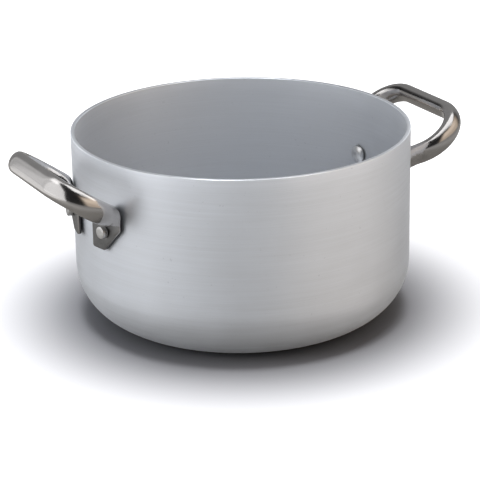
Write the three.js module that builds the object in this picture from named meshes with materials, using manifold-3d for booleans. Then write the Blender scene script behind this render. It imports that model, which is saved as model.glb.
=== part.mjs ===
// A two-handled aluminium cooking pot, 24 cm across inside, with tubular steel handles.
// Millimetres, +Z up. The origin is the middle of the base, on the surface that the pot stands on.
// The handles reach out along -X (left) and +X (right); -Y is the front.
import * as THREE from "three";
import { mergeVertices } from "three/addons/utils/BufferGeometryUtils.js";
import Module from "manifold-3d";

// Pot body, spun from one disc
const POT_RADIUS = 123; // outside
const POT_HEIGHT = 140;
const WALL = 3;
const BASE_CORNER = 40; // outside radius of the bend from the wall into the base
const RIM_EDGE = 0.6; // rounding of the rim's two edges
const BODY_SIDES = 80;
const CORNER_STEPS = 8;

// Handle loop: one flat loop of oval tube, tilted up and away from the wall
const LOOP_TILT = THREE.MathUtils.degToRad(34.5);
const LOOP_HEIGHT = 104; // where the loop's plane meets the wall
const BAR_REACH = 47.7; // from the wall to the middle line of the grip bar, in the loop's plane
const BAR_HALF = 25; // half the straight length of the grip bar
const BEND_RADIUS = 24;
const LEG_SPLAY = THREE.MathUtils.degToRad(38); // the legs lean apart from the foot to the bend
const LEG_LENGTH = 27; // it runs on into the wall's side of the foot, where it is cut off flat
const TUBE_TALL = 16; // across the loop's plane
const TUBE_WIDE = 11.6; // in the loop's plane
const TUBE_WALL = 1.5;
const TUBE_SIDES = 20;
const BEND_STEPS = 12;

// Handle feet: the tube's ends, pressed flat and riveted on
const RIVET_HEIGHT = 90;
const RIVET_SPACING = 52; // straight across from rivet to rivet of one handle, on the wall
const FOOT_THICKNESS = 3;
const FOOT_IN = 14.5; // from the rivet to the edge that faces the handle's middle
const FOOT_OUT = 16; // from the rivet to the outer corner
const FOOT_DOWN = 14.5;
const FOOT_UP = 17; // hidden in the tube
const FOOT_SHOULDER = 3.5; // height of the outer corner above the rivet
const FOOT_TIP = 1.5; // from the rivet to the lowest point, towards the handle's middle
const FOOT_CORNER = 1.5; // cut off the lower inner corner
const FOOT_INNER_TOP = 6; // the inner edge is upright to here, and leans outwards above
const FOOT_OUTER_TOP = 8.5; // the same for the outer edge, which leans inwards
const FOOT_NECK = [2, 14]; // the foot's two sides at its top
const SEAM = 0.4; // what is left of the tube's bore in the flattened foot
const SEAM_MOUTH = [-11.5, -4]; // its two sides at the foot's lower edge
const SEAM_NECK = [1, 10]; // and at its top
const SEAM_UP = 14;

// Rivets
const SHANK_RADIUS = 2;
const OUTER_HEAD_RADIUS = 4.6;
const OUTER_HEAD_HEIGHT = 4;
const OUTER_HEAD_CHAMFER = 0.6;
const INNER_HEAD_RADIUS = 6.8;
const INNER_HEAD_HEIGHT = 3.6;
const INNER_HEAD_EDGE = 0.9; // its straight edge, below the dome
const INNER_HEAD_LIFT = 0.5; // the flat of the head stays clear of the curved wall
const DOME_STEPS = 4;
const RIVET_SIDES = 24;

const GAP = 0.3; // left between pieces that touch
const THROUGH = 60; // longer than any cut has to be

const wasm = await Module();
wasm.setup();

const aluminium = { color: 0xb4b6b9, roughness: 0.45, metalness: 1 };
const polishedSteel = { color: 0x9a948c, roughness: 0.12, metalness: 1 };
const rivetAluminium = { color: 0xb9bbbd, roughness: 0.5, metalness: 1 };

// A three.js geometry as a manifold-3d solid, so that it can be cut or joined.
function toSolid(geometry) {
  const bare = geometry.index ? geometry.toNonIndexed() : geometry.clone();
  bare.deleteAttribute("normal");
  bare.deleteAttribute("uv");
  const merged = mergeVertices(bare, 1e-4);
  const triangles = [];
  for (let i = 0; i < merged.index.count; i += 3) {
    const [a, b, c] = [0, 1, 2].map((k) => merged.index.getX(i + k));
    if (a !== b && b !== c && c !== a) triangles.push(a, b, c);
  }
  return new wasm.Manifold(
    new wasm.Mesh({
      numProp: 3,
      vertProperties: merged.attributes.position.array,
      triVerts: new Uint32Array(triangles),
    }),
  );
}

function toGeometry(solid) {
  const cut = solid.getMesh();
  const geometry = new THREE.BufferGeometry();
  geometry.setAttribute("position", new THREE.BufferAttribute(cut.vertProperties, 3));
  geometry.setIndex(new THREE.BufferAttribute(cut.triVerts, 1));
  geometry.computeVertexNormals();
  return geometry;
}

function addPiece(group, name, geometry, finish) {
  const mesh = new THREE.Mesh(geometry, new THREE.MeshStandardMaterial(finish));
  mesh.name = name;
  group.add(mesh);
  return mesh;
}

// The points of an arc in a lathe's half plane, angles in degrees from +X.
function arc(x, y, radius, from, to, steps) {
  const curve = new THREE.EllipseCurve(
    x, y, radius, radius,
    THREE.MathUtils.degToRad(from), THREE.MathUtils.degToRad(to), to < from,
  );
  return curve.getPoints(steps);
}

// ---- A rivet's place: the frame at the wall where its foot lies flat -------------------

const rivetAngle = Math.asin(RIVET_SPACING / 2 / POT_RADIUS);

// Takes local (x = sideways away from the handle's middle, y = up, z = out from the wall)
// to a handle that reaches out along +X. side is +1 or -1 along Y.
function footFrame(side) {
  const angle = side * rivetAngle;
  const out = new THREE.Vector3(Math.cos(angle), Math.sin(angle), 0);
  const across = new THREE.Vector3(-Math.sin(angle), Math.cos(angle), 0).multiplyScalar(side);
  const up = new THREE.Vector3(0, 0, 1);
  const frame = new THREE.Matrix4().makeBasis(across, up, out);
  const origin = out.clone().multiplyScalar(POT_RADIUS + GAP);
  origin.z = RIVET_HEIGHT;
  return frame.setPosition(origin);
}

// A solid made in a foot's own frame and put in its place. On one side of the handle the
// frame is left-handed, so the triangles are turned round to keep the faces pointing out.
function placeAtFoot(geometry, side) {
  const placed = geometry.index ? geometry.toNonIndexed() : geometry.clone();
  const frame = footFrame(side);
  placed.applyMatrix4(frame);
  if (frame.determinant() < 0) {
    const position = placed.attributes.position;
    const [a, b] = [new THREE.Vector3(), new THREE.Vector3()];
    for (let i = 0; i < position.count; i += 3) {
      a.fromBufferAttribute(position, i + 1);
      b.fromBufferAttribute(position, i + 2);
      position.setXYZ(i + 1, b.x, b.y, b.z);
      position.setXYZ(i + 2, a.x, a.y, a.z);
    }
  }
  return toSolid(placed);
}

// A round bar along the rivet's axis, for its holes.
function rivetHole(radius, side) {
  const bar = new THREE.CylinderGeometry(radius, radius, THROUGH, RIVET_SIDES);
  return placeAtFoot(bar.rotateX(Math.PI / 2), side);
}

// ---- Pot body --------------------------------------------------------------------------

function potBody() {
  const inner = POT_RADIUS - WALL;
  const top = POT_HEIGHT - RIM_EDGE;
  const profile = [
    new THREE.Vector2(0, 0),
    ...arc(POT_RADIUS - BASE_CORNER, BASE_CORNER, BASE_CORNER, -90, 0, CORNER_STEPS),
    ...arc(POT_RADIUS - RIM_EDGE, top, RIM_EDGE, 0, 90, 2),
    ...arc(inner + RIM_EDGE, top, RIM_EDGE, 90, 180, 2),
    ...arc(inner - BASE_CORNER + WALL, BASE_CORNER, BASE_CORNER - WALL, 0, -90, CORNER_STEPS),
    new THREE.Vector2(0, WALL),
  ];
  const turned = new THREE.LatheGeometry(profile, BODY_SIDES).rotateX(Math.PI / 2);
  let solid = toSolid(turned);
  for (const turn of [0, 180]) {
    for (const side of [-1, 1]) {
      const hole = rivetHole(SHANK_RADIUS + GAP, side);
      solid = solid.subtract(hole.rotate([0, 0, turn]));
    }
  }
  return toGeometry(solid);
}

// ---- Handle ----------------------------------------------------------------------------

// The tube's middle line in the loop's plane, as stations from one foot to the other.
// x runs out from the wall, y runs sideways; heading is the direction of travel.
function loopStations() {
  const centre = new THREE.Vector2(BAR_REACH - BEND_RADIUS, BAR_HALF);
  const half = [];
  for (let i = 0; i <= BEND_STEPS; i++) {
    const turn = THREE.MathUtils.lerp(-LEG_SPLAY, Math.PI / 2, i / BEND_STEPS);
    const along = new THREE.Vector2(Math.cos(turn), -Math.sin(turn));
    const outward = new THREE.Vector2(Math.sin(turn), Math.cos(turn));
    const point = centre.clone().addScaledVector(outward, BEND_RADIUS);
    half.push({ point, along });
  }
  const { point: legTop, along: legAlong } = half[0];
  const legEnd = legTop.clone().addScaledVector(legAlong, -LEG_LENGTH);
  half.unshift({ point: legEnd, along: legAlong });
  const mirrored = half.map(({ point, along }) => ({
    point: new THREE.Vector2(point.x, -point.y),
    along: new THREE.Vector2(-along.x, along.y),
  }));
  return [...half, ...mirrored.reverse()];
}

// An oval bar along the loop's middle line, shrink mm smaller all round than the tube.
// A closed cylinder's rings are moved one by one to the stations.
function loopSolid(shrink) {
  const stations = loopStations();
  const last = stations.length - 1;
  const bar = new THREE.CylinderGeometry(1, 1, 1, TUBE_SIDES, last).toNonIndexed();
  const position = bar.attributes.position;
  const outX = new THREE.Vector3(Math.cos(LOOP_TILT), 0, Math.sin(LOOP_TILT));
  const outY = new THREE.Vector3(0, 1, 0);
  const normal = new THREE.Vector3(-Math.sin(LOOP_TILT), 0, Math.cos(LOOP_TILT));
  const origin = new THREE.Vector3(POT_RADIUS, 0, LOOP_HEIGHT);
  const vertex = new THREE.Vector3();
  for (let i = 0; i < position.count; i++) {
    vertex.fromBufferAttribute(position, i);
    const { point, along } = stations[Math.round((0.5 - vertex.y) * last)];
    const wide = vertex.x * (TUBE_WIDE / 2 - shrink);
    const tall = vertex.z * (TUBE_TALL / 2 - shrink);
    vertex.copy(origin);
    vertex.addScaledVector(outX, point.x - along.y * wide);
    vertex.addScaledVector(outY, point.y + along.x * wide);
    vertex.addScaledVector(normal, tall);
    position.setXYZ(i, vertex.x, vertex.y, vertex.z);
  }
  return toSolid(bar);
}

// The flattened foot, lying on the wall: its outer lower edge is cut off at a slant.
function footPlate(side) {
  const outline = new THREE.Shape();
  outline.moveTo(-FOOT_IN, -FOOT_DOWN + FOOT_CORNER);
  outline.lineTo(-FOOT_IN + FOOT_CORNER, -FOOT_DOWN);
  outline.lineTo(-FOOT_TIP, -FOOT_DOWN);
  outline.lineTo(FOOT_OUT, FOOT_SHOULDER);
  outline.lineTo(FOOT_OUT, FOOT_OUTER_TOP);
  outline.lineTo(FOOT_NECK[1], FOOT_UP);
  outline.lineTo(FOOT_NECK[0], FOOT_UP);
  outline.lineTo(-FOOT_IN, FOOT_INNER_TOP);
  outline.closePath();
  const plate = new THREE.ExtrudeGeometry(outline, { depth: FOOT_THICKNESS, bevelEnabled: false });
  return placeAtFoot(plate, side);
}

// The thin slot that the pressing leaves of the bore, open at the foot's lower edge.
function footSeam(side) {
  const outline = new THREE.Shape();
  outline.moveTo(SEAM_MOUTH[0], -FOOT_DOWN - 1);
  outline.lineTo(SEAM_MOUTH[1], -FOOT_DOWN - 1);
  outline.lineTo(SEAM_NECK[1], SEAM_UP);
  outline.lineTo(SEAM_NECK[0], SEAM_UP);
  outline.closePath();
  const slot = new THREE.ExtrudeGeometry(outline, { depth: SEAM, bevelEnabled: false });
  slot.translate(0, 0, (FOOT_THICKNESS - SEAM) / 2);
  return placeAtFoot(slot, side);
}

// Everything on the wall's side of the plane that lies depth in front of the foot's back.
function behindFoot(side, depth) {
  const block = new THREE.BoxGeometry(THROUGH, THROUGH, THROUGH);
  block.translate(THROUGH / 2 - RIVET_SPACING / 2, FOOT_UP / 2, depth - THROUGH / 2);
  return placeAtFoot(block, side);
}

function handle() {
  let outside = loopSolid(0);
  let bore = loopSolid(TUBE_WALL);
  for (const side of [-1, 1]) {
    outside = outside.subtract(behindFoot(side, 0)).add(footPlate(side));
    bore = bore.subtract(behindFoot(side, FOOT_THICKNESS / 2)).add(footSeam(side));
    bore = bore.add(rivetHole(SHANK_RADIUS + GAP, side));
  }
  return toGeometry(outside.subtract(bore));
}

// ---- Rivet -----------------------------------------------------------------------------

// A rivet along its own Z axis, with z = 0 at the back of the foot: a short flat head
// outside, a low domed head inside the pot.
function rivet(side) {
  const seat = FOOT_THICKNESS + GAP;
  const inside = -GAP - WALL - INNER_HEAD_LIFT;
  const dome = [];
  for (let k = 0; k <= DOME_STEPS; k++) {
    const turn = ((k / DOME_STEPS) * Math.PI) / 2;
    const height = INNER_HEAD_EDGE + (INNER_HEAD_HEIGHT - INNER_HEAD_EDGE) * Math.cos(turn);
    dome.push(new THREE.Vector2(INNER_HEAD_RADIUS * Math.sin(turn), inside - height));
  }
  const profile = [
    ...dome,
    new THREE.Vector2(INNER_HEAD_RADIUS, inside),
    new THREE.Vector2(SHANK_RADIUS, inside),
    new THREE.Vector2(SHANK_RADIUS, seat),
    new THREE.Vector2(OUTER_HEAD_RADIUS, seat),
    new THREE.Vector2(OUTER_HEAD_RADIUS, seat + OUTER_HEAD_HEIGHT - OUTER_HEAD_CHAMFER),
    new THREE.Vector2(OUTER_HEAD_RADIUS - OUTER_HEAD_CHAMFER, seat + OUTER_HEAD_HEIGHT),
    new THREE.Vector2(0, seat + OUTER_HEAD_HEIGHT),
  ];
  const turned = new THREE.LatheGeometry(profile, RIVET_SIDES).rotateX(Math.PI / 2);
  return toGeometry(placeAtFoot(turned, side));
}

// ---- Assembly --------------------------------------------------------------------------

const pot = new THREE.Group();
addPiece(pot, "pot_body", potBody(), aluminium);

const handleGeometry = handle();
for (const [name, turn, front] of [["left", Math.PI, 1], ["right", 0, -1]]) {
  const fitted = new THREE.Group();
  fitted.rotation.z = turn;
  addPiece(fitted, `${name}_handle`, handleGeometry, polishedSteel);
  addPiece(fitted, `${name}_front_rivet`, rivet(front), rivetAluminium);
  addPiece(fitted, `${name}_rear_rivet`, rivet(-front), rivetAluminium);
  pot.add(fitted);
}

export default pot;
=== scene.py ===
import math

import bmesh
import bpy
from mathutils import Matrix, Vector


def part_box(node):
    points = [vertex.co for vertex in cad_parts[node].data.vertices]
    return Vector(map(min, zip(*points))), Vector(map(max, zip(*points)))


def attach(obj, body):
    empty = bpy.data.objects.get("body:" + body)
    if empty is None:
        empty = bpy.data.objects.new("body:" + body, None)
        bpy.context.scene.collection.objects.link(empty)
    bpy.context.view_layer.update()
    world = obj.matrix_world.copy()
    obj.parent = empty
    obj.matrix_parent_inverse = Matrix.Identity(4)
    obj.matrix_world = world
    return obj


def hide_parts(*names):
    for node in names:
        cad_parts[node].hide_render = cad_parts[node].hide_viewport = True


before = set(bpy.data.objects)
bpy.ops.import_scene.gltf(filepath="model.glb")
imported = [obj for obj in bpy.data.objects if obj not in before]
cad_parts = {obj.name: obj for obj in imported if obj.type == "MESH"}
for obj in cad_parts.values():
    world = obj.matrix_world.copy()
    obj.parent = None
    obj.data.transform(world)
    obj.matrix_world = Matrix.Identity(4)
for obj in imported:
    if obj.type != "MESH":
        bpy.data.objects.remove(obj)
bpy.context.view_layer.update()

MM = 0.001

# ---- Sizes, repeated from the CAD model's driving dimensions --------------------------------
POT_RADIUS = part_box("pot_body")[1][0]
POT_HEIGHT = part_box("pot_body")[1][2]
WALL = 3 * MM
BASE_CORNER = 40 * MM
RIM_EDGE = 0.6 * MM

LOOP_TILT = math.radians(34.5)
LOOP_HEIGHT = 104 * MM
BAR_REACH = 47.5 * MM
BAR_HALF = 25 * MM
BEND_RADIUS = 24 * MM
LEG_SPLAY = math.radians(38)
TUBE_TALL = 16 * MM
TUBE_WIDE = 11.6 * MM

RIVET_HEIGHT = 90 * MM
RIVET_SPACING = 52 * MM
RIVET_ANGLE = math.asin(RIVET_SPACING / 2 / POT_RADIUS)
FOOT_THICKNESS = 3 * MM
FOOT_IN = 14.5 * MM
FOOT_OUT = 16 * MM
FOOT_DOWN = 14.5 * MM
FOOT_SHOULDER = 3.5 * MM
FOOT_TIP = 1.5 * MM
FOOT_CREASE = 7.6 * MM       # height above the rivet where the foot folds into the tube
SHANK_RADIUS = 2 * MM
HEAD_RADIUS = 4.6 * MM       # the flat head outside, which narrows a little to its top
HEAD_TOP_RADIUS = 4.4 * MM
HEAD_HEIGHT = 4 * MM
DOME_RADIUS = 6.8 * MM       # the domed head inside
DOME_RISE = 2.9 * MM
DOME_RIM = 0.7 * MM
GAP = 0.3 * MM

# ---- How finely the pieces are made ----------------------------------------------------------
BODY_SIDES = 240
CORNER_STEPS = 28
WALL_STEPS = 10
HOLE_SIDES = 32
RIVET_SIDES = 48
DOME_STEPS = 12
FOLD_STEPS = 16
BEND_STEPS = 44
RING_POINTS = 64
TUBE_POWER = 2.1             # superellipse powers: nearly an ellipse, and nearly a rectangle
FOOT_POWER = 7
TUBE_MAP = "along_tube"      # UVs in metres along the tube and round it


# ---- Mesh helpers ---------------------------------------------------------------------------

def new_object(name, bm, smooth=True):
    mesh = bpy.data.meshes.new(name)
    bmesh.ops.recalc_face_normals(bm, faces=bm.faces)
    bm.to_mesh(mesh)
    bm.free()
    for polygon in mesh.polygons:
        polygon.use_smooth = smooth
    obj = bpy.data.objects.new(name, mesh)
    bpy.context.scene.collection.objects.link(obj)
    return obj


def lathe(profile, sides, place=None):
    """A closed profile of (radius, height) pairs, from axis to axis, turned round Z."""
    bm = bmesh.new()
    rings = []
    for radius, height in profile:
        if radius < 1e-9:
            rings.append([bm.verts.new((0, 0, height))])
            continue
        ring = []
        for i in range(sides):
            a = math.tau * i / sides
            ring.append(bm.verts.new((radius * math.cos(a), radius * math.sin(a), height)))
        rings.append(ring)
    for low, high in zip(rings, rings[1:]):
        for i in range(sides):
            j = (i + 1) % sides
            corners = [low[i % len(low)], low[j % len(low)], high[j % len(high)], high[i % len(high)]]
            bm.faces.new(list(dict.fromkeys(corners)))
    if place is not None:
        bm.transform(place)
    return bm


def arc(x, y, radius, start, end, steps):
    """Points of an arc, angles in degrees from the +x direction."""
    points = []
    for i in range(steps + 1):
        a = math.radians(start + (end - start) * i / steps)
        points.append((x + radius * math.cos(a), y + radius * math.sin(a)))
    return points


def foot_frame(side):
    """Local x sideways from the handle's middle, y up, z out of the wall, for the +X handle."""
    angle = side * RIVET_ANGLE
    out = Vector((math.cos(angle), math.sin(angle), 0))
    across = Vector((-math.sin(angle), math.cos(angle), 0)) * side
    up = Vector((0, 0, 1))
    origin = out * (POT_RADIUS + GAP) + up * RIVET_HEIGHT
    return Matrix((
        (across.x, up.x, out.x, origin.x),
        (across.y, up.y, out.y, origin.y),
        (across.z, up.z, out.z, origin.z),
        (0, 0, 0, 1),
    ))


def cut(obj, cutters):
    """Takes the cutters' solids away from obj, and applies it to its mesh."""
    for cutter in cutters:
        modifier = obj.modifiers.new("cut", "BOOLEAN")
        modifier.operation = "DIFFERENCE"
        modifier.solver = "EXACT"
        modifier.object = cutter
    bpy.context.view_layer.update()
    depsgraph = bpy.context.evaluated_depsgraph_get()
    cut_mesh = bpy.data.meshes.new_from_object(obj.evaluated_get(depsgraph))
    obj.modifiers.clear()
    obj.data = cut_mesh
    for cutter in cutters:
        bpy.data.objects.remove(cutter)


def rivet_hole(turn, side):
    """A bar as wide as a rivet's hole, through a foot and the wall."""
    radius = SHANK_RADIUS + GAP
    reach = 12 * MM
    place = Matrix.Rotation(turn, 4, "Z") @ foot_frame(side)
    bar = [(0, -reach), (radius, -reach), (radius, reach), (0, reach)]
    return new_object("hole", lathe(bar, HOLE_SIDES, place))


# ---- Pot body -------------------------------------------------------------------------------

def make_body():
    inner = POT_RADIUS - WALL
    top = POT_HEIGHT - RIM_EDGE
    flat = POT_RADIUS - BASE_CORNER
    wall_heights = [BASE_CORNER + (top - BASE_CORNER) * k / WALL_STEPS for k in range(1, WALL_STEPS)]
    base_radii = (flat * 0.35, flat * 0.7)
    profile = [(0, 0)]
    profile += [(radius, 0) for radius in base_radii]
    profile += arc(flat, BASE_CORNER, BASE_CORNER, -90, 0, CORNER_STEPS)
    profile += [(POT_RADIUS, height) for height in wall_heights]
    profile += arc(POT_RADIUS - RIM_EDGE, top, RIM_EDGE, 0, 90, 5)
    profile += arc(inner + RIM_EDGE, top, RIM_EDGE, 90, 180, 5)
    profile += [(inner, height) for height in reversed(wall_heights)]
    profile += arc(flat, BASE_CORNER, BASE_CORNER - WALL, 0, -90, CORNER_STEPS)
    profile += [(radius, WALL) for radius in reversed(base_radii)]
    profile.append((0, WALL))
    body = new_object("spun_body", lathe(profile, BODY_SIDES))
    cut(body, [rivet_hole(turn, side) for turn in (0, math.pi) for side in (-1, 1)])
    return body


# ---- Handles --------------------------------------------------------------------------------

def ease(t):
    t = min(max(t, 0), 1)
    return t * t * (3 - 2 * t)


def mix(a, b, t):
    return a + (b - a) * t


def ring(centre, wide, tall, power):
    """A superellipse: power 2 is an ellipse, and a higher power squares it."""
    points = []
    for i in range(RING_POINTS):
        a = math.tau * i / RING_POINTS
        c, s = math.cos(a), math.sin(a)
        x = math.copysign(abs(c) ** (2 / power), c)
        y = math.copysign(abs(s) ** (2 / power), s)
        points.append(centre + wide * x + tall * y)
    return points


OUT_X = Vector((math.cos(LOOP_TILT), 0, math.sin(LOOP_TILT)))
OUT_Y = Vector((0, 1, 0))
NORMAL = Vector((-math.sin(LOOP_TILT), 0, math.cos(LOOP_TILT)))
LOOP_ORIGIN = Vector((POT_RADIUS, 0, LOOP_HEIGHT))


def loop_point(x, y):
    return LOOP_ORIGIN + OUT_X * x + OUT_Y * y


def tube_ring(x, y, heading):
    """The tube's plain oval section. heading is measured from OUT_X towards OUT_Y."""
    wide = -math.sin(heading) * OUT_X + math.cos(heading) * OUT_Y
    return ring(loop_point(x, y), wide * TUBE_WIDE / 2, NORMAL * TUBE_TALL / 2, TUBE_POWER)


def foot_sides(height):
    """How far the flattened foot reaches inwards and outwards at a height over the rivet."""
    slope = (FOOT_OUT + FOOT_TIP) / (FOOT_SHOULDER + FOOT_DOWN)
    outer = min(FOOT_OUT, (height + FOOT_DOWN) * slope - FOOT_TIP)
    corner = 1.5 * MM
    rise = min(height + FOOT_DOWN, corner)
    inner = -FOOT_IN + corner - math.sqrt(max(corner ** 2 - (corner - rise) ** 2, 0))
    narrow_from = 6 * MM
    narrowing = 1.5
    inner += narrowing * max(height - narrow_from, 0)
    return inner, outer


def foot_ring(height, inset):
    """A level section of the flattened foot, in the foot's own frame."""
    inner, outer = foot_sides(height)
    wide = (outer - inner) / 2 - inset
    return ring(
        Vector(((inner + outer) / 2, height, FOOT_THICKNESS / 2)),
        Vector((wide, 0, 0)),
        Vector((0, 0, inset - FOOT_THICKNESS / 2)),
        FOOT_POWER,
    )


def bend(start, corner, end, t):
    """A point of the curve from start to end that heads for the corner on its way."""
    return (1 - t) ** 2 * start + 2 * t * (1 - t) * corner + t * t * end


def fold_rings(frame_of_foot, leg_start):
    """From the flat foot to the round tube: the front stays at the crease and the back climbs
    the wall, then turns out along the tube."""
    to_foot = frame_of_foot.inverted()
    fold_length = 8 * MM
    along = math.cos(LEG_SPLAY) * OUT_X + math.sin(LEG_SPLAY) * OUT_Y
    centre = to_foot @ (leg_start + along * fold_length)
    tall = to_foot.to_3x3() @ (NORMAL * TUBE_TALL / 2)
    side = to_foot.to_3x3() @ (-math.sin(LEG_SPLAY) * OUT_X + math.cos(LEG_SPLAY) * OUT_Y)
    direction = to_foot.to_3x3() @ along
    # The tube's top line meets the foot's back plane at the knee, which is rounded off.
    top = centre + tall
    knee = top - direction * (top.z / direction.z)
    knee_round = 4.5 * MM
    up = Vector((0, 1, 0))
    flat_direction = Vector((0, direction.y, direction.z)).normalized()
    knee_corner = Vector((0, knee.y, 0))
    knee_start = knee_corner - up * knee_round
    knee_end = knee_corner + flat_direction * knee_round
    back_start = Vector((0, FOOT_CREASE, 0))
    back_end = Vector((0, top.y, top.z))
    front_start = Vector((0, FOOT_CREASE, FOOT_THICKNESS))
    front_end = Vector((0, centre.y - tall.y, centre.z - tall.z))
    front_bend = Vector((0, FOOT_CREASE + 1.0 * MM, FOOT_THICKNESS + 6.5 * MM))
    inner, outer = foot_sides(FOOT_CREASE)
    # The shares of the way at which the back comes to the knee and leaves it
    knee_from = 0.4
    knee_to = 0.8
    rings = []
    for i in range(1, FOLD_STEPS + 1):
        t = i / FOLD_STEPS
        front = bend(front_start, front_bend, front_end, t)
        if t < knee_from:
            back = mix(back_start, knee_start, t / knee_from)
        elif t < knee_to:
            back = bend(knee_start, knee_corner, knee_end, (t - knee_from) / (knee_to - knee_from))
        else:
            back = mix(knee_end, back_end, (t - knee_to) / (1 - knee_to))
        middle = (front + back) / 2
        half = (back - front) / 2
        middle.x = centre.x + ((inner + outer) / 2 - centre.x) * (1 - t) ** 1.35
        half.x = tall.x * t
        width = mix(TUBE_WIDE / 2, (outer - inner) / 2, (1 - t) ** 2)
        across = mix(Vector((1, 0, 0)), side, ease(t)).normalized()
        power = mix(TUBE_POWER, FOOT_POWER, (1 - t) ** 3)
        rings.append(ring(middle, across * width, half, power))
    return rings


def half_handle():
    """Rings from the foot's lower edge on the +Y side to the middle of the grip bar."""
    frame_of_foot = foot_frame(1)
    # Heights over the rivet in mm, and how far the foot's rounded lower edge is set in at each
    lower_edge = ((-14.5, 0.45), (-14.35, 0.2), (-14.05, 0.05), (-13.6, 0), (-13, 0))
    heights = (-10, -6, -2, 1, 2.6, 3.3, 3.7, 4.4, 5.8, 6.8, 7.3, 7.6)
    rings = [foot_ring(height * MM, inset * MM) for height, inset in lower_edge]
    rings += [foot_ring(height * MM, 0) for height in heights]
    bend_x = BAR_REACH - BEND_RADIUS
    bend_y = BAR_HALF
    leg_top_x = bend_x - BEND_RADIUS * math.sin(LEG_SPLAY)
    leg_top_y = bend_y + BEND_RADIUS * math.cos(LEG_SPLAY)
    leg_start = loop_point(0, leg_top_y - leg_top_x * math.tan(LEG_SPLAY))
    rings += fold_rings(frame_of_foot, leg_start)
    rings = [[frame_of_foot @ p for p in points] for points in rings]
    for i in range(BEND_STEPS + 1):
        turn = mix(-LEG_SPLAY, math.pi / 2, i / BEND_STEPS)
        x = bend_x + BEND_RADIUS * math.sin(turn)
        y = bend_y + BEND_RADIUS * math.cos(turn)
        rings.append(tube_ring(x, y, -turn))
    for k in (0.75, 0.5, 0.25, 0):
        rings.append(tube_ring(BAR_REACH, BAR_HALF * k, -math.pi / 2))
    return rings


def make_handle(name, turn):
    """Half the tube and its mirror image, with a map in metres along the tube and round it."""
    half = half_handle()
    mirrored = [[Vector((p.x, -p.y, p.z)) for p in points] for points in half[-2::-1]]
    bm = bmesh.new()
    tube_map = bm.loops.layers.uv.new(TUBE_MAP)
    loops = [[bm.verts.new(p) for p in points] for points in half + mirrored]
    along = 0
    for low, high in zip(loops, loops[1:]):
        middles = [sum((vert.co for vert in loop), Vector()) / RING_POINTS for loop in (low, high)]
        step = (middles[1] - middles[0]).length
        for i in range(RING_POINTS):
            j = (i + 1) % RING_POINTS
            face = bm.faces.new((low[i], low[j], high[j], high[i]))
            corners = ((along, i), (along, i + 1), (along + step, i + 1), (along + step, i))
            for corner, (u, v) in zip(face.loops, corners):
                corner[tube_map].uv = (u, v * TUBE_WIDE * math.pi / RING_POINTS)
        along += step
    bm.faces.new(loops[0])
    bm.faces.new(loops[-1])
    bm.transform(Matrix.Rotation(turn, 4, "Z"))
    handle = new_object(name, bm)
    cut(handle, [rivet_hole(turn, side) for side in (-1, 1)])
    return handle


# ---- Rivets ---------------------------------------------------------------------------------

def make_rivet(name, turn, side):
    """z = 0 is the back of the foot: a short flat head outside, a low dome inside the pot."""
    seat = FOOT_THICKNESS + GAP
    inside = -(GAP + WALL + 0.5 * MM)
    profile = [(0, inside - DOME_RIM - DOME_RISE)]
    for k in range(1, DOME_STEPS + 1):
        a = math.radians(90 * k / DOME_STEPS)
        profile.append((DOME_RADIUS * math.sin(a), inside - DOME_RIM - DOME_RISE * math.cos(a)))
    edge = 0.4 * MM
    profile += arc(DOME_RADIUS - edge, inside - edge, edge, 0, 90, 3)
    profile += [(SHANK_RADIUS, inside), (SHANK_RADIUS, seat)]
    low_edge = 0.3 * MM
    top_edge = 0.65 * MM
    flat_top = 2 * MM
    profile += arc(HEAD_RADIUS - low_edge, seat + low_edge, low_edge, -90, 0, 3)
    profile += arc(HEAD_TOP_RADIUS - top_edge, seat + HEAD_HEIGHT - top_edge, top_edge, 0, 80, 6)
    profile += [(flat_top, seat + HEAD_HEIGHT), (0, seat + HEAD_HEIGHT)]
    place = Matrix.Rotation(turn, 4, "Z") @ foot_frame(side)
    return new_object(name, lathe(profile, RIVET_SIDES, place))


# ---- Shader helpers -------------------------------------------------------------------------

def put_in(tree, node, given):
    """Gives a node its inputs in order, each a value or another node's output."""
    for socket, value in zip(node.inputs, given):
        if isinstance(value, bpy.types.NodeSocket):
            tree.links.new(value, socket)
        else:
            socket.default_value = value


def number(tree, operation, *given):
    node = tree.nodes.new("ShaderNodeMath")
    node.operation = operation
    put_in(tree, node, given)
    return node.outputs[0]


def fade(tree, value, start, end, low=0.0, high=1.0):
    """low up to start and high from end on, and smooth between them."""
    node = tree.nodes.new("ShaderNodeMapRange")
    node.interpolation_type = "SMOOTHSTEP"
    put_in(tree, node, (value, start, end, low, high))
    return node.outputs["Result"]


def total(tree, first, *parts):
    """first plus each part, given as (value, how much of it, its middle)."""
    for value, amount, middle in parts:
        change = number(tree, "MULTIPLY", number(tree, "SUBTRACT", value, middle), amount)
        first = number(tree, "ADD", first, change)
    return first


def noise(tree, place, scale, detail):
    node = tree.nodes.new("ShaderNodeTexNoise")
    node.inputs["Scale"].default_value = scale
    node.inputs["Detail"].default_value = detail
    tree.links.new(place, node.inputs["Vector"])
    return node.outputs["Fac"]


def shaded(tree, colour, strength):
    """A colour made lighter or darker by a number."""
    node = tree.nodes.new("ShaderNodeVectorMath")
    node.operation = "SCALE"
    node.inputs[0].default_value = colour
    tree.links.new(strength, node.inputs["Scale"])
    return node.outputs[0]


def blend(tree, amount, first, second):
    """The first colour where the amount is 0, and the second where it is 1."""
    node = tree.nodes.new("ShaderNodeMix")
    node.data_type = "RGBA"
    tree.links.new(amount, node.inputs[0])
    tree.links.new(first, node.inputs[6])
    tree.links.new(second, node.inputs[7])
    return node.outputs[2]


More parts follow.
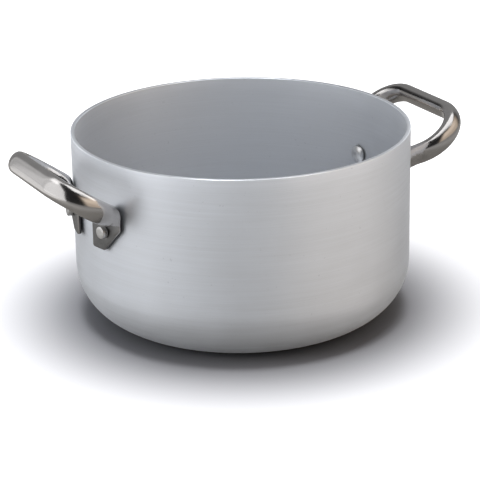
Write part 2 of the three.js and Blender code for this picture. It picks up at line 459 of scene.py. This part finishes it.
def bumps(tree, height, depth, normal=None):
    node = tree.nodes.new("ShaderNodeBump")
    node.inputs["Distance"].default_value = depth
    tree.links.new(height, node.inputs["Height"])
    if normal is not None:
        tree.links.new(normal, node.inputs["Normal"])
    return node.outputs[0]


def object_place(tree):
    return tree.nodes.new("ShaderNodeTexCoord").outputs["Object"]


def split(tree, place):
    parts = tree.nodes.new("ShaderNodeSeparateXYZ")
    tree.links.new(place, parts.inputs[0])
    return parts.outputs


def joined(tree, *parts):
    node = tree.nodes.new("ShaderNodeCombineXYZ")
    put_in(tree, node, parts)
    return node.outputs[0]


def axis_distance(tree):
    """How far a point is from the pot's upright axis."""
    x, y = split(tree, object_place(tree))[:2]
    squares = number(tree, "ADD", number(tree, "MULTIPLY", x, x), number(tree, "MULTIPLY", y, y))
    return number(tree, "SQRT", squares)


def turned_place(tree, around, along):
    """Coordinates for lathe marks: stretched out round the pot and close together along its
    profile, where radius plus height grows all the way from the base's centre to the rim."""
    x, y, z = split(tree, object_place(tree))
    way = number(tree, "ADD", axis_distance(tree), z)
    return joined(
        tree,
        number(tree, "MULTIPLY", x, around),
        number(tree, "MULTIPLY", y, around),
        number(tree, "MULTIPLY", way, along),
    )


# ---- Materials ------------------------------------------------------------------------------

QUARTER_TURN = 0.25

OUTSIDE_COLOUR = (0.87, 0.905, 0.965)
# The inside's colour is the same aluminium darkened: a painted shade that offsets the light of the
# cards over the pot
SHADED_INSIDE_COLOUR = (0.66, 0.683, 0.72)
BRIGHT_STEEL = (0.585, 0.57, 0.565)
PRESSED_STEEL = (0.29, 0.292, 0.298)
RIVET_COLOUR = (0.8, 0.805, 0.81)


def metal(name):
    mat = bpy.data.materials.new(name)
    mat.use_nodes = True
    shader = mat.node_tree.nodes["Principled BSDF"]
    shader.inputs["Metallic"].default_value = 1
    return mat, mat.node_tree, shader


def set_surface(tree, shader, colour, roughness, normal):
    tree.links.new(colour, shader.inputs["Base Color"])
    tree.links.new(roughness, shader.inputs["Roughness"])
    tree.links.new(normal, shader.inputs["Normal"])


def spun_aluminium(name, colour, roughness, anisotropy):
    """Turned and satin finished: fine lathe lines, broader bands of them, and faint smudges."""
    mat, tree, shader = metal(name)
    shader.inputs["Anisotropic"].default_value = anisotropy
    shader.inputs["Anisotropic Rotation"].default_value = QUARTER_TURN
    tangent = tree.nodes.new("ShaderNodeTangent")
    tangent.direction_type = "RADIAL"
    tangent.axis = "Z"
    tree.links.new(tangent.outputs[0], shader.inputs["Tangent"])
    lines = noise(tree, turned_place(tree, 18, 1500), 1, 3)
    bands = noise(tree, turned_place(tree, 12, 420), 1, 5)
    smudges = noise(tree, object_place(tree), 24, 4)
    nicks = fade(tree, noise(tree, object_place(tree), 430, 2), 0.70, 0.77)
    height = split(tree, object_place(tree))[2]
    rim = fade(tree, height, POT_HEIGHT - 1.5 * MM, POT_HEIGHT - 0.3 * MM)
    shade = total(
        tree, 1, (bands, 0.08, 0.5), (lines, 0.09, 0.5), (smudges, 0.1, 0.5), (nicks, -0.08, 0)
    )
    rough = total(
        tree, roughness, (bands, 0.1, 0.5), (smudges, 0.15, 0.5), (nicks, 0.1, 0), (rim, -0.12, 0)
    )
    relief = bumps(tree, nicks, -0.015 * MM, bumps(tree, lines, 0.03 * MM))
    set_surface(tree, shader, shaded(tree, colour, shade), rough, relief)
    return mat


def polished_steel():
    """Bright along the tube, with hairlines and smudges. The flattened feet keep the dull
    grey of the press, with a painted shadow on their sheared sides, and their edges are
    painted bright: partly rubbed polish, partly a painted highlight."""
    mat, tree, shader = metal("polished_steel")
    uv = tree.nodes.new("ShaderNodeUVMap")
    uv.uv_map = TUBE_MAP
    along, around = split(tree, uv.outputs[0])[:2]
    stretched = number(tree, "MULTIPLY", along, 35)
    packed = number(tree, "MULTIPLY", around, 1800)
    hair_place = joined(tree, stretched, packed)
    hairlines = noise(tree, hair_place, 1, 3)
    smudges = noise(tree, object_place(tree), 60, 4)
    grain = noise(tree, object_place(tree), 1300, 2)
    face = POT_RADIUS + GAP + FOOT_THICKNESS
    foot = fade(tree, axis_distance(tree), face + 0.3 * MM, face + 4 * MM, 1.0, 0.0)
    # How squarely the surface faces straight out from the pot's axis: 1 is squarely
    geometry = tree.nodes.new("ShaderNodeNewGeometry")
    normal_x, normal_y = split(tree, geometry.outputs["True Normal"])[:2]
    x, y = split(tree, object_place(tree))[:2]
    facing_x = number(tree, "MULTIPLY", normal_x, x)
    facing_y = number(tree, "MULTIPLY", normal_y, y)
    facing = number(tree, "ADD", facing_x, facing_y)
    facing = number(tree, "DIVIDE", facing, axis_distance(tree))
    turned_away = number(tree, "MULTIPLY", foot, fade(tree, facing, 0.96, 0.8))
    near_face = fade(tree, axis_distance(tree), face - 0.8 * MM, face - 0.1 * MM)
    # The foot's edges next to its face take the bright steel: partly rubbed polish, partly a painted
    # highlight
    rubbed_and_highlit = number(tree, "MULTIPLY", turned_away, near_face)
    # The foot's sides away from its face: a painted shadow, darkened below
    side = number(tree, "SUBTRACT", turned_away, rubbed_and_highlit)
    dull = number(tree, "SUBTRACT", foot, number(tree, "MULTIPLY", rubbed_and_highlit, 0.9))
    polish = total(tree, 1, (hairlines, 0.2, 0.5), (smudges, 0.25, 0.5))
    bright = shaded(tree, BRIGHT_STEEL, polish)
    # Wear from smudges and grain, and the painted shadow on the foot's sides
    wear_and_painted_shadow = total(tree, 1, (smudges, 0.8, 0.5), (grain, 0.5, 0.5), (side, -0.8, 0))
    pressed = shaded(tree, PRESSED_STEEL, wear_and_painted_shadow)
    rough = total(tree, 0.18, (hairlines, 0.1, 0.5), (smudges, 0.16, 0.5), (dull, 0.2, 0))
    foot_grain = number(tree, "MULTIPLY", grain, foot)
    relief = bumps(tree, foot_grain, 0.03 * MM, bumps(tree, hairlines, 0.002 * MM))
    set_surface(tree, shader, blend(tree, dull, bright, pressed), rough, relief)
    return mat


def rivet_aluminium():
    """Tumbled bright, with small dents where the head was closed, and a painted shade where
    it meets the wall or the foot."""
    mat, tree, shader = metal("rivet_aluminium")
    dents = noise(tree, object_place(tree), 520, 2)
    grain = noise(tree, object_place(tree), 2400, 2)
    radius = axis_distance(tree)
    wall_inside = POT_RADIUS - WALL
    foot_face = POT_RADIUS + GAP + FOOT_THICKNESS
    # A painted shade: a dark ring where each head meets the wall or the foot
    from_inside = fade(tree, radius, wall_inside - 2.2 * MM, wall_inside - 1.3 * MM)
    from_outside = fade(tree, radius, foot_face + 1.1 * MM, foot_face + 0.4 * MM)
    crevice_shade = number(tree, "MULTIPLY", from_inside, from_outside)
    shade = total(tree, 1.05, (dents, 0.3, 0.5), (grain, 0.2, 0.5), (crevice_shade, -0.8, 0))
    rough = total(tree, 0.33, (dents, 0.3, 0.5))
    relief = bumps(tree, grain, 0.01 * MM, bumps(tree, dents, 0.12 * MM))
    set_surface(tree, shader, shaded(tree, RIVET_COLOUR, shade), rough, relief)
    return mat


def finish_piece(obj, node, mat):
    obj.data.materials.clear()
    obj.data.materials.append(mat)
    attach(obj, "root")
    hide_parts(node)
    pieces.append(obj)


def give_inside(obj, mat):
    """Puts the material on the faces that look up or in to the axis, below the rim's lip."""
    obj.data.materials.append(mat)
    for face in obj.data.polygons:
        outwards = Vector((face.center.x, face.center.y, 0)).normalized()
        faces_in = face.normal.z - face.normal.dot(outwards) > 0.5
        face.material_index = int(faces_in and face.center.z < POT_HEIGHT - RIM_EDGE)


pieces = []
steel_mat = polished_steel()
rivet_mat = rivet_aluminium()
body = make_body()
outside_mat = spun_aluminium("outside_aluminium", OUTSIDE_COLOUR, 0.56, 0.6)
finish_piece(body, "pot_body", outside_mat)
# The inside gets the darker colour, a painted shade
give_inside(body, spun_aluminium("shaded_inside_aluminium", SHADED_INSIDE_COLOUR, 0.62, 0.3))
for side_name, turn, front in (("left", math.pi, 1), ("right", 0, -1)):
    handle = make_handle(f"{side_name}_loop_handle", turn)
    finish_piece(handle, f"{side_name}_handle", steel_mat)
    for place_name, side in (("front", front), ("rear", -front)):
        rivet = make_rivet(f"{side_name}_{place_name}_riveted_pin", turn, side)
        finish_piece(rivet, f"{side_name}_{place_name}_rivet", rivet_mat)


# ---- Floor, light and camera ----------------------------------------------------------------

VIEW_AZIMUTH = -28.5       # degrees round from the front, -Y, towards +X
VIEW_ELEVATION = math.radians(20.85)
VIEW_ROLL = math.radians(-1.03)
VIEW_DISTANCE = 1.476
VIEW_LENS = 150.4          # millimetres, on a sensor SENSOR_WIDTH wide
SENSOR_WIDTH = 36
AIM_LEFT = 1.5             # millimetres from the middle of the pot to where the camera aims
AIM_DOWN = 18.2

WHITE = (1, 1, 1)
FLOOR_HALF = 6
FLOOR_PALE = (0.296, 0.3, 0.324)
FLOOR_DIM = (0.166, 0.161, 0.152)
PAINTED_SHADOW_DARK = 0.4         # painted shadow: how much of the pale colour is left close under the pot
PAINTED_SHADOW_FROM = 0.088       # and between which distances from the axis it comes back
PAINTED_SHADOW_TO = 0.128

# Cards that stand round the pot, facing its axis
CARD_DISTANCE = 0.9
CARD_HEIGHT = 0.35
CARD_SIZE = (0.48, 0.7)
CARD_AIM = Vector((0, 0, CARD_HEIGHT))
RING_CARDS = (
    # azimuth from the camera in degrees, radiance
    (-150, 0.60),
    (-120, 0.98),
    (-90, 1.34),
    (-60, 1.55),
    (-30, 0.90),
    (0, 0.65),
    (30, 0.64),
    (60, 0.50),
    (90, 0.50),
    (120, 0.30),
    (150, 0.85),
)


def glow(tree, colour, strength):
    node = tree.nodes.new("ShaderNodeBackground")
    node.inputs["Color"].default_value = (*colour, 1)
    if isinstance(strength, bpy.types.NodeSocket):
        tree.links.new(strength, node.inputs["Strength"])
    else:
        node.inputs["Strength"].default_value = strength
    return node.outputs[0]


def soft_box(tree, azimuth, half_width, low, high, edge, colour, strength):
    """A glowing panel far away, in degrees: azimuth 0 is the front, -Y, and 90 is +X."""
    direction = tree.nodes.new("ShaderNodeTexCoord").outputs["Generated"]
    turned = tree.nodes.new("ShaderNodeVectorRotate")
    turned.rotation_type = "Z_AXIS"
    turned.inputs["Angle"].default_value = -math.radians(azimuth)
    tree.links.new(direction, turned.inputs["Vector"])
    x, y, z = split(tree, turned.outputs[0])
    ahead = number(tree, "MULTIPLY", y, -1.0)
    across = number(tree, "ABSOLUTE", number(tree, "ARCTAN2", x, ahead))
    height = number(tree, "ARCSINE", z)
    width, low, high, edge = (math.radians(v) for v in (half_width, low, high, edge / 2))
    mask = fade(tree, across, width + edge, width - edge)
    mask = number(tree, "MULTIPLY", mask, fade(tree, height, low - edge, low + edge))
    mask = number(tree, "MULTIPLY", mask, fade(tree, height, high + edge, high - edge))
    return glow(tree, colour, number(tree, "MULTIPLY", mask, strength))


def add_shaders(tree, first, second):
    node = tree.nodes.new("ShaderNodeAddShader")
    tree.links.new(first, node.inputs[0])
    tree.links.new(second, node.inputs[1])
    return node.outputs[0]


def camera_sees(tree, others_see, seen):
    """One shader for what the camera sees directly, and another for reflections and light."""
    mix_node = tree.nodes.new("ShaderNodeMixShader")
    path = tree.nodes.new("ShaderNodeLightPath")
    tree.links.new(path.outputs["Is Camera Ray"], mix_node.inputs["Fac"])
    tree.links.new(others_see, mix_node.inputs[1])
    tree.links.new(seen, mix_node.inputs[2])
    return mix_node.outputs[0]


def make_floor():
    """Pale to the camera, darker close under the pot by its shadow and by a painted shadow,
    and white away from it by a painted glow. In reflections it is dimmer, and glows only faintly far
    away."""
    bm = bmesh.new()
    bmesh.ops.create_grid(bm, x_segments=1, y_segments=1, size=FLOOR_HALF)
    floor = new_object("floor", bm, smooth=False)
    mat = bpy.data.materials.new("pale_floor")
    mat.use_nodes = True
    mat.cycles.emission_sampling = "NONE"
    tree = mat.node_tree
    tree.nodes.clear()
    pale = tree.nodes.new("ShaderNodeBsdfDiffuse")
    # A painted shadow: the pale colour is darkened close under the pot
    painted_shadow = fade(tree, axis_distance(tree), PAINTED_SHADOW_FROM, PAINTED_SHADOW_TO, PAINTED_SHADOW_DARK, 1.0)
    tree.links.new(shaded(tree, FLOOR_PALE, painted_shadow), pale.inputs["Color"])
    dim = tree.nodes.new("ShaderNodeBsdfDiffuse")
    dim.inputs["Color"].default_value = (*FLOOR_DIM, 1)
    # Painted light: each glow grows from one distance from the axis to another, whitening the
    #     floor and painting the soft edge of the pot's shadow: start, end, strength
    painted_glows = (
        (dim, ((0.2, 0.5, 0.2),)),
        (pale, ((0.11, 0.22, 0.7), (0.155, 0.42, 0.65))),
    )
    sheets = []
    for shader, painted_light_ramps in painted_glows:
        sheet = shader.outputs[0]
        for start, end, strength in painted_light_ramps:
            painted_light_ramp = tree.nodes.new("ShaderNodeEmission")
            growth = fade(tree, axis_distance(tree), start, end, 0.0, strength)
            tree.links.new(growth, painted_light_ramp.inputs["Strength"])
            sheet = add_shaders(tree, sheet, painted_light_ramp.outputs[0])
        sheets.append(sheet)
    output = tree.nodes.new("ShaderNodeOutputMaterial")
    tree.links.new(camera_sees(tree, *sheets), output.inputs["Surface"])
    floor.data.materials.append(mat)
    return floor


def card(name, centre, aim, size, radiance, lit, shading):
    """A soft white card that shines on some objects only, and is shaded by some only."""
    data = bpy.data.lights.new(name, "AREA")
    data.shape = "RECTANGLE"
    data.size, data.size_y = size
    data.energy = radiance * math.pi * size[0] * size[1]
    light = bpy.data.objects.new(name, data)
    facing = (centre - aim).to_track_quat("Z", "Y").to_matrix().to_4x4()
    light.matrix_world = Matrix.Translation(centre) @ facing
    light.visible_camera = False
    bpy.context.scene.collection.objects.link(light)
    light.light_linking.receiver_collection = lit
    light.light_linking.blocker_collection = shading


def collection_of(name, objects):
    collection = bpy.data.collections.new(name)
    for obj in objects:
        collection.objects.link(obj)
    return collection


def level(azimuth, distance, height):
    """A point, by its azimuth in degrees: 0 is the front, -Y, and 90 is +X."""
    a = math.radians(azimuth)
    return Vector((distance * math.sin(a), -distance * math.cos(a), height))


def make_world():
    world = bpy.data.worlds.new("studio")
    bpy.context.scene.world = world
    world.use_nodes = True
    tree = world.node_tree
    tree.nodes.clear()
    boxes = (
        # azimuth, half width, low, high, edge, colour, strength
        (46, 44, -26, 42, 20, (1, 0.83, 0.66), 0.66),
        (40, 34, 16, 40, 16, (1, 0.86, 0.72), 0.3),
        (155, 50, -10, 75, 24, WHITE, 0.27),
    )
    lit = glow(tree, WHITE, 0.02)
    for box in boxes:
        lit = add_shaders(tree, lit, soft_box(tree, *box))
    output = tree.nodes.new("ShaderNodeOutputWorld")
    tree.links.new(camera_sees(tree, lit, glow(tree, WHITE, 1.0)), output.inputs["Surface"])


def make_camera():
    data = bpy.data.cameras.new("camera")
    data.sensor_width = SENSOR_WIDTH
    data.lens = VIEW_LENS
    camera = bpy.data.objects.new("camera", data)
    a = math.radians(VIEW_AZIMUTH)
    e = VIEW_ELEVATION
    back = Vector((math.sin(a) * math.cos(e), -math.cos(a) * math.cos(e), math.sin(e)))
    right = Vector((math.cos(a), math.sin(a), 0))
    up = back.cross(right)
    rolled = Matrix.Rotation(VIEW_ROLL, 3, back)
    right, up = rolled @ right, rolled @ up
    aim = Vector((0, 0, POT_HEIGHT / 2)) - right * AIM_LEFT * MM - up * AIM_DOWN * MM
    camera.matrix_world = Matrix.Translation(aim + back * VIEW_DISTANCE) @ Matrix((
        (right.x, up.x, back.x),
        (right.y, up.y, back.y),
        (right.z, up.z, back.z),
    )).to_4x4()
    bpy.context.scene.collection.objects.link(camera)
    bpy.context.scene.camera = camera


def light_studio(floor):
    """White cards round the pot and over it. Each set shines on its own things only."""
    pot = collection_of("pot", [body])
    fittings = collection_of("fittings", pieces[1:])
    ground = collection_of("ground", [floor])
    every_piece = collection_of("every_piece", pieces)
    for azimuth, radiance in RING_CARDS:
        centre = level(VIEW_AZIMUTH + azimuth, CARD_DISTANCE, CARD_HEIGHT)
        card(f"ring_card_{azimuth}", centre, CARD_AIM, CARD_SIZE, radiance, pot, every_piece)
    overhead = (
        # name, azimuth, distance, height, width, radiance, lit, shading
        ("pot_top_card", -45, 0.28, 1.3, 0.4, 12.5, pot, every_piece),
        ("pot_rim_card", 75, 0.45, 1.3, 0.4, 7, pot, every_piece),
        ("ground_top_card", 0, 0, 1.3, 0.7, 15, ground, pot),
    )
    for name, azimuth, distance, height, width, radiance, lit, shading in overhead:
        centre = level(VIEW_AZIMUTH + azimuth, distance, height)
        below = Vector((centre.x, centre.y, 0))
        card(name, centre, below, (width, width), radiance, lit, shading)
    ground_side = level(VIEW_AZIMUTH - 60, CARD_DISTANCE, CARD_HEIGHT)
    card("ground_side_card", ground_side, CARD_AIM, CARD_SIZE, 4.4, ground, pot)
    # Upright sheets side by side in one plane on the left, for the handles and rivets
    beside = Vector((-0.487, -0.094, 0))
    forward = Vector((-0.678, -0.735, 0))
    inwards = Vector((0.735, -0.678, 0))
    sheets = (
        # name, first edge and last edge along forward, low, high, radiance
        ("low", -0.4, 0.4, 0.04, 0.1, 0.6),
        ("front", -0.27, 0.4, 0.1, 0.75, 1.1),
        ("middle", -0.36, -0.27, 0.1, 0.75, 0.75),
        ("back", -0.42, -0.36, 0.1, 0.75, 0.35),
    )
    for name, first, last, low, high, radiance in sheets:
        centre = beside + forward * (first + last) / 2 + Vector((0, 0, (low + high) / 2))
        size = (last - first, high - low)
        card(f"fittings_{name}_card", centre, centre + inwards, size, radiance, fittings, every_piece)
    # Level sheets over the handles and rivets
    above_height = 0.5
    above = (
        # left, right, near, far, radiance
        (-0.13, 0.5, -0.2, 0.05, 1.45),
        (-0.04, 0.5, -0.31, -0.2, 0.8),
        (-0.36, -0.1, 0.05, 0.28, 0.9),
    )
    for index, (left, right, near, far, radiance) in enumerate(above):
        centre = Vector(((left + right) / 2, (near + far) / 2, above_height))
        below = Vector((centre.x, centre.y, 0))
        size = (right - left, far - near)
        card(f"fittings_top_card_{index}", centre, below, size, radiance, fittings, every_piece)


light_studio(make_floor())
make_world()
make_camera()
bpy.context.scene.view_settings.view_transform = "Standard"
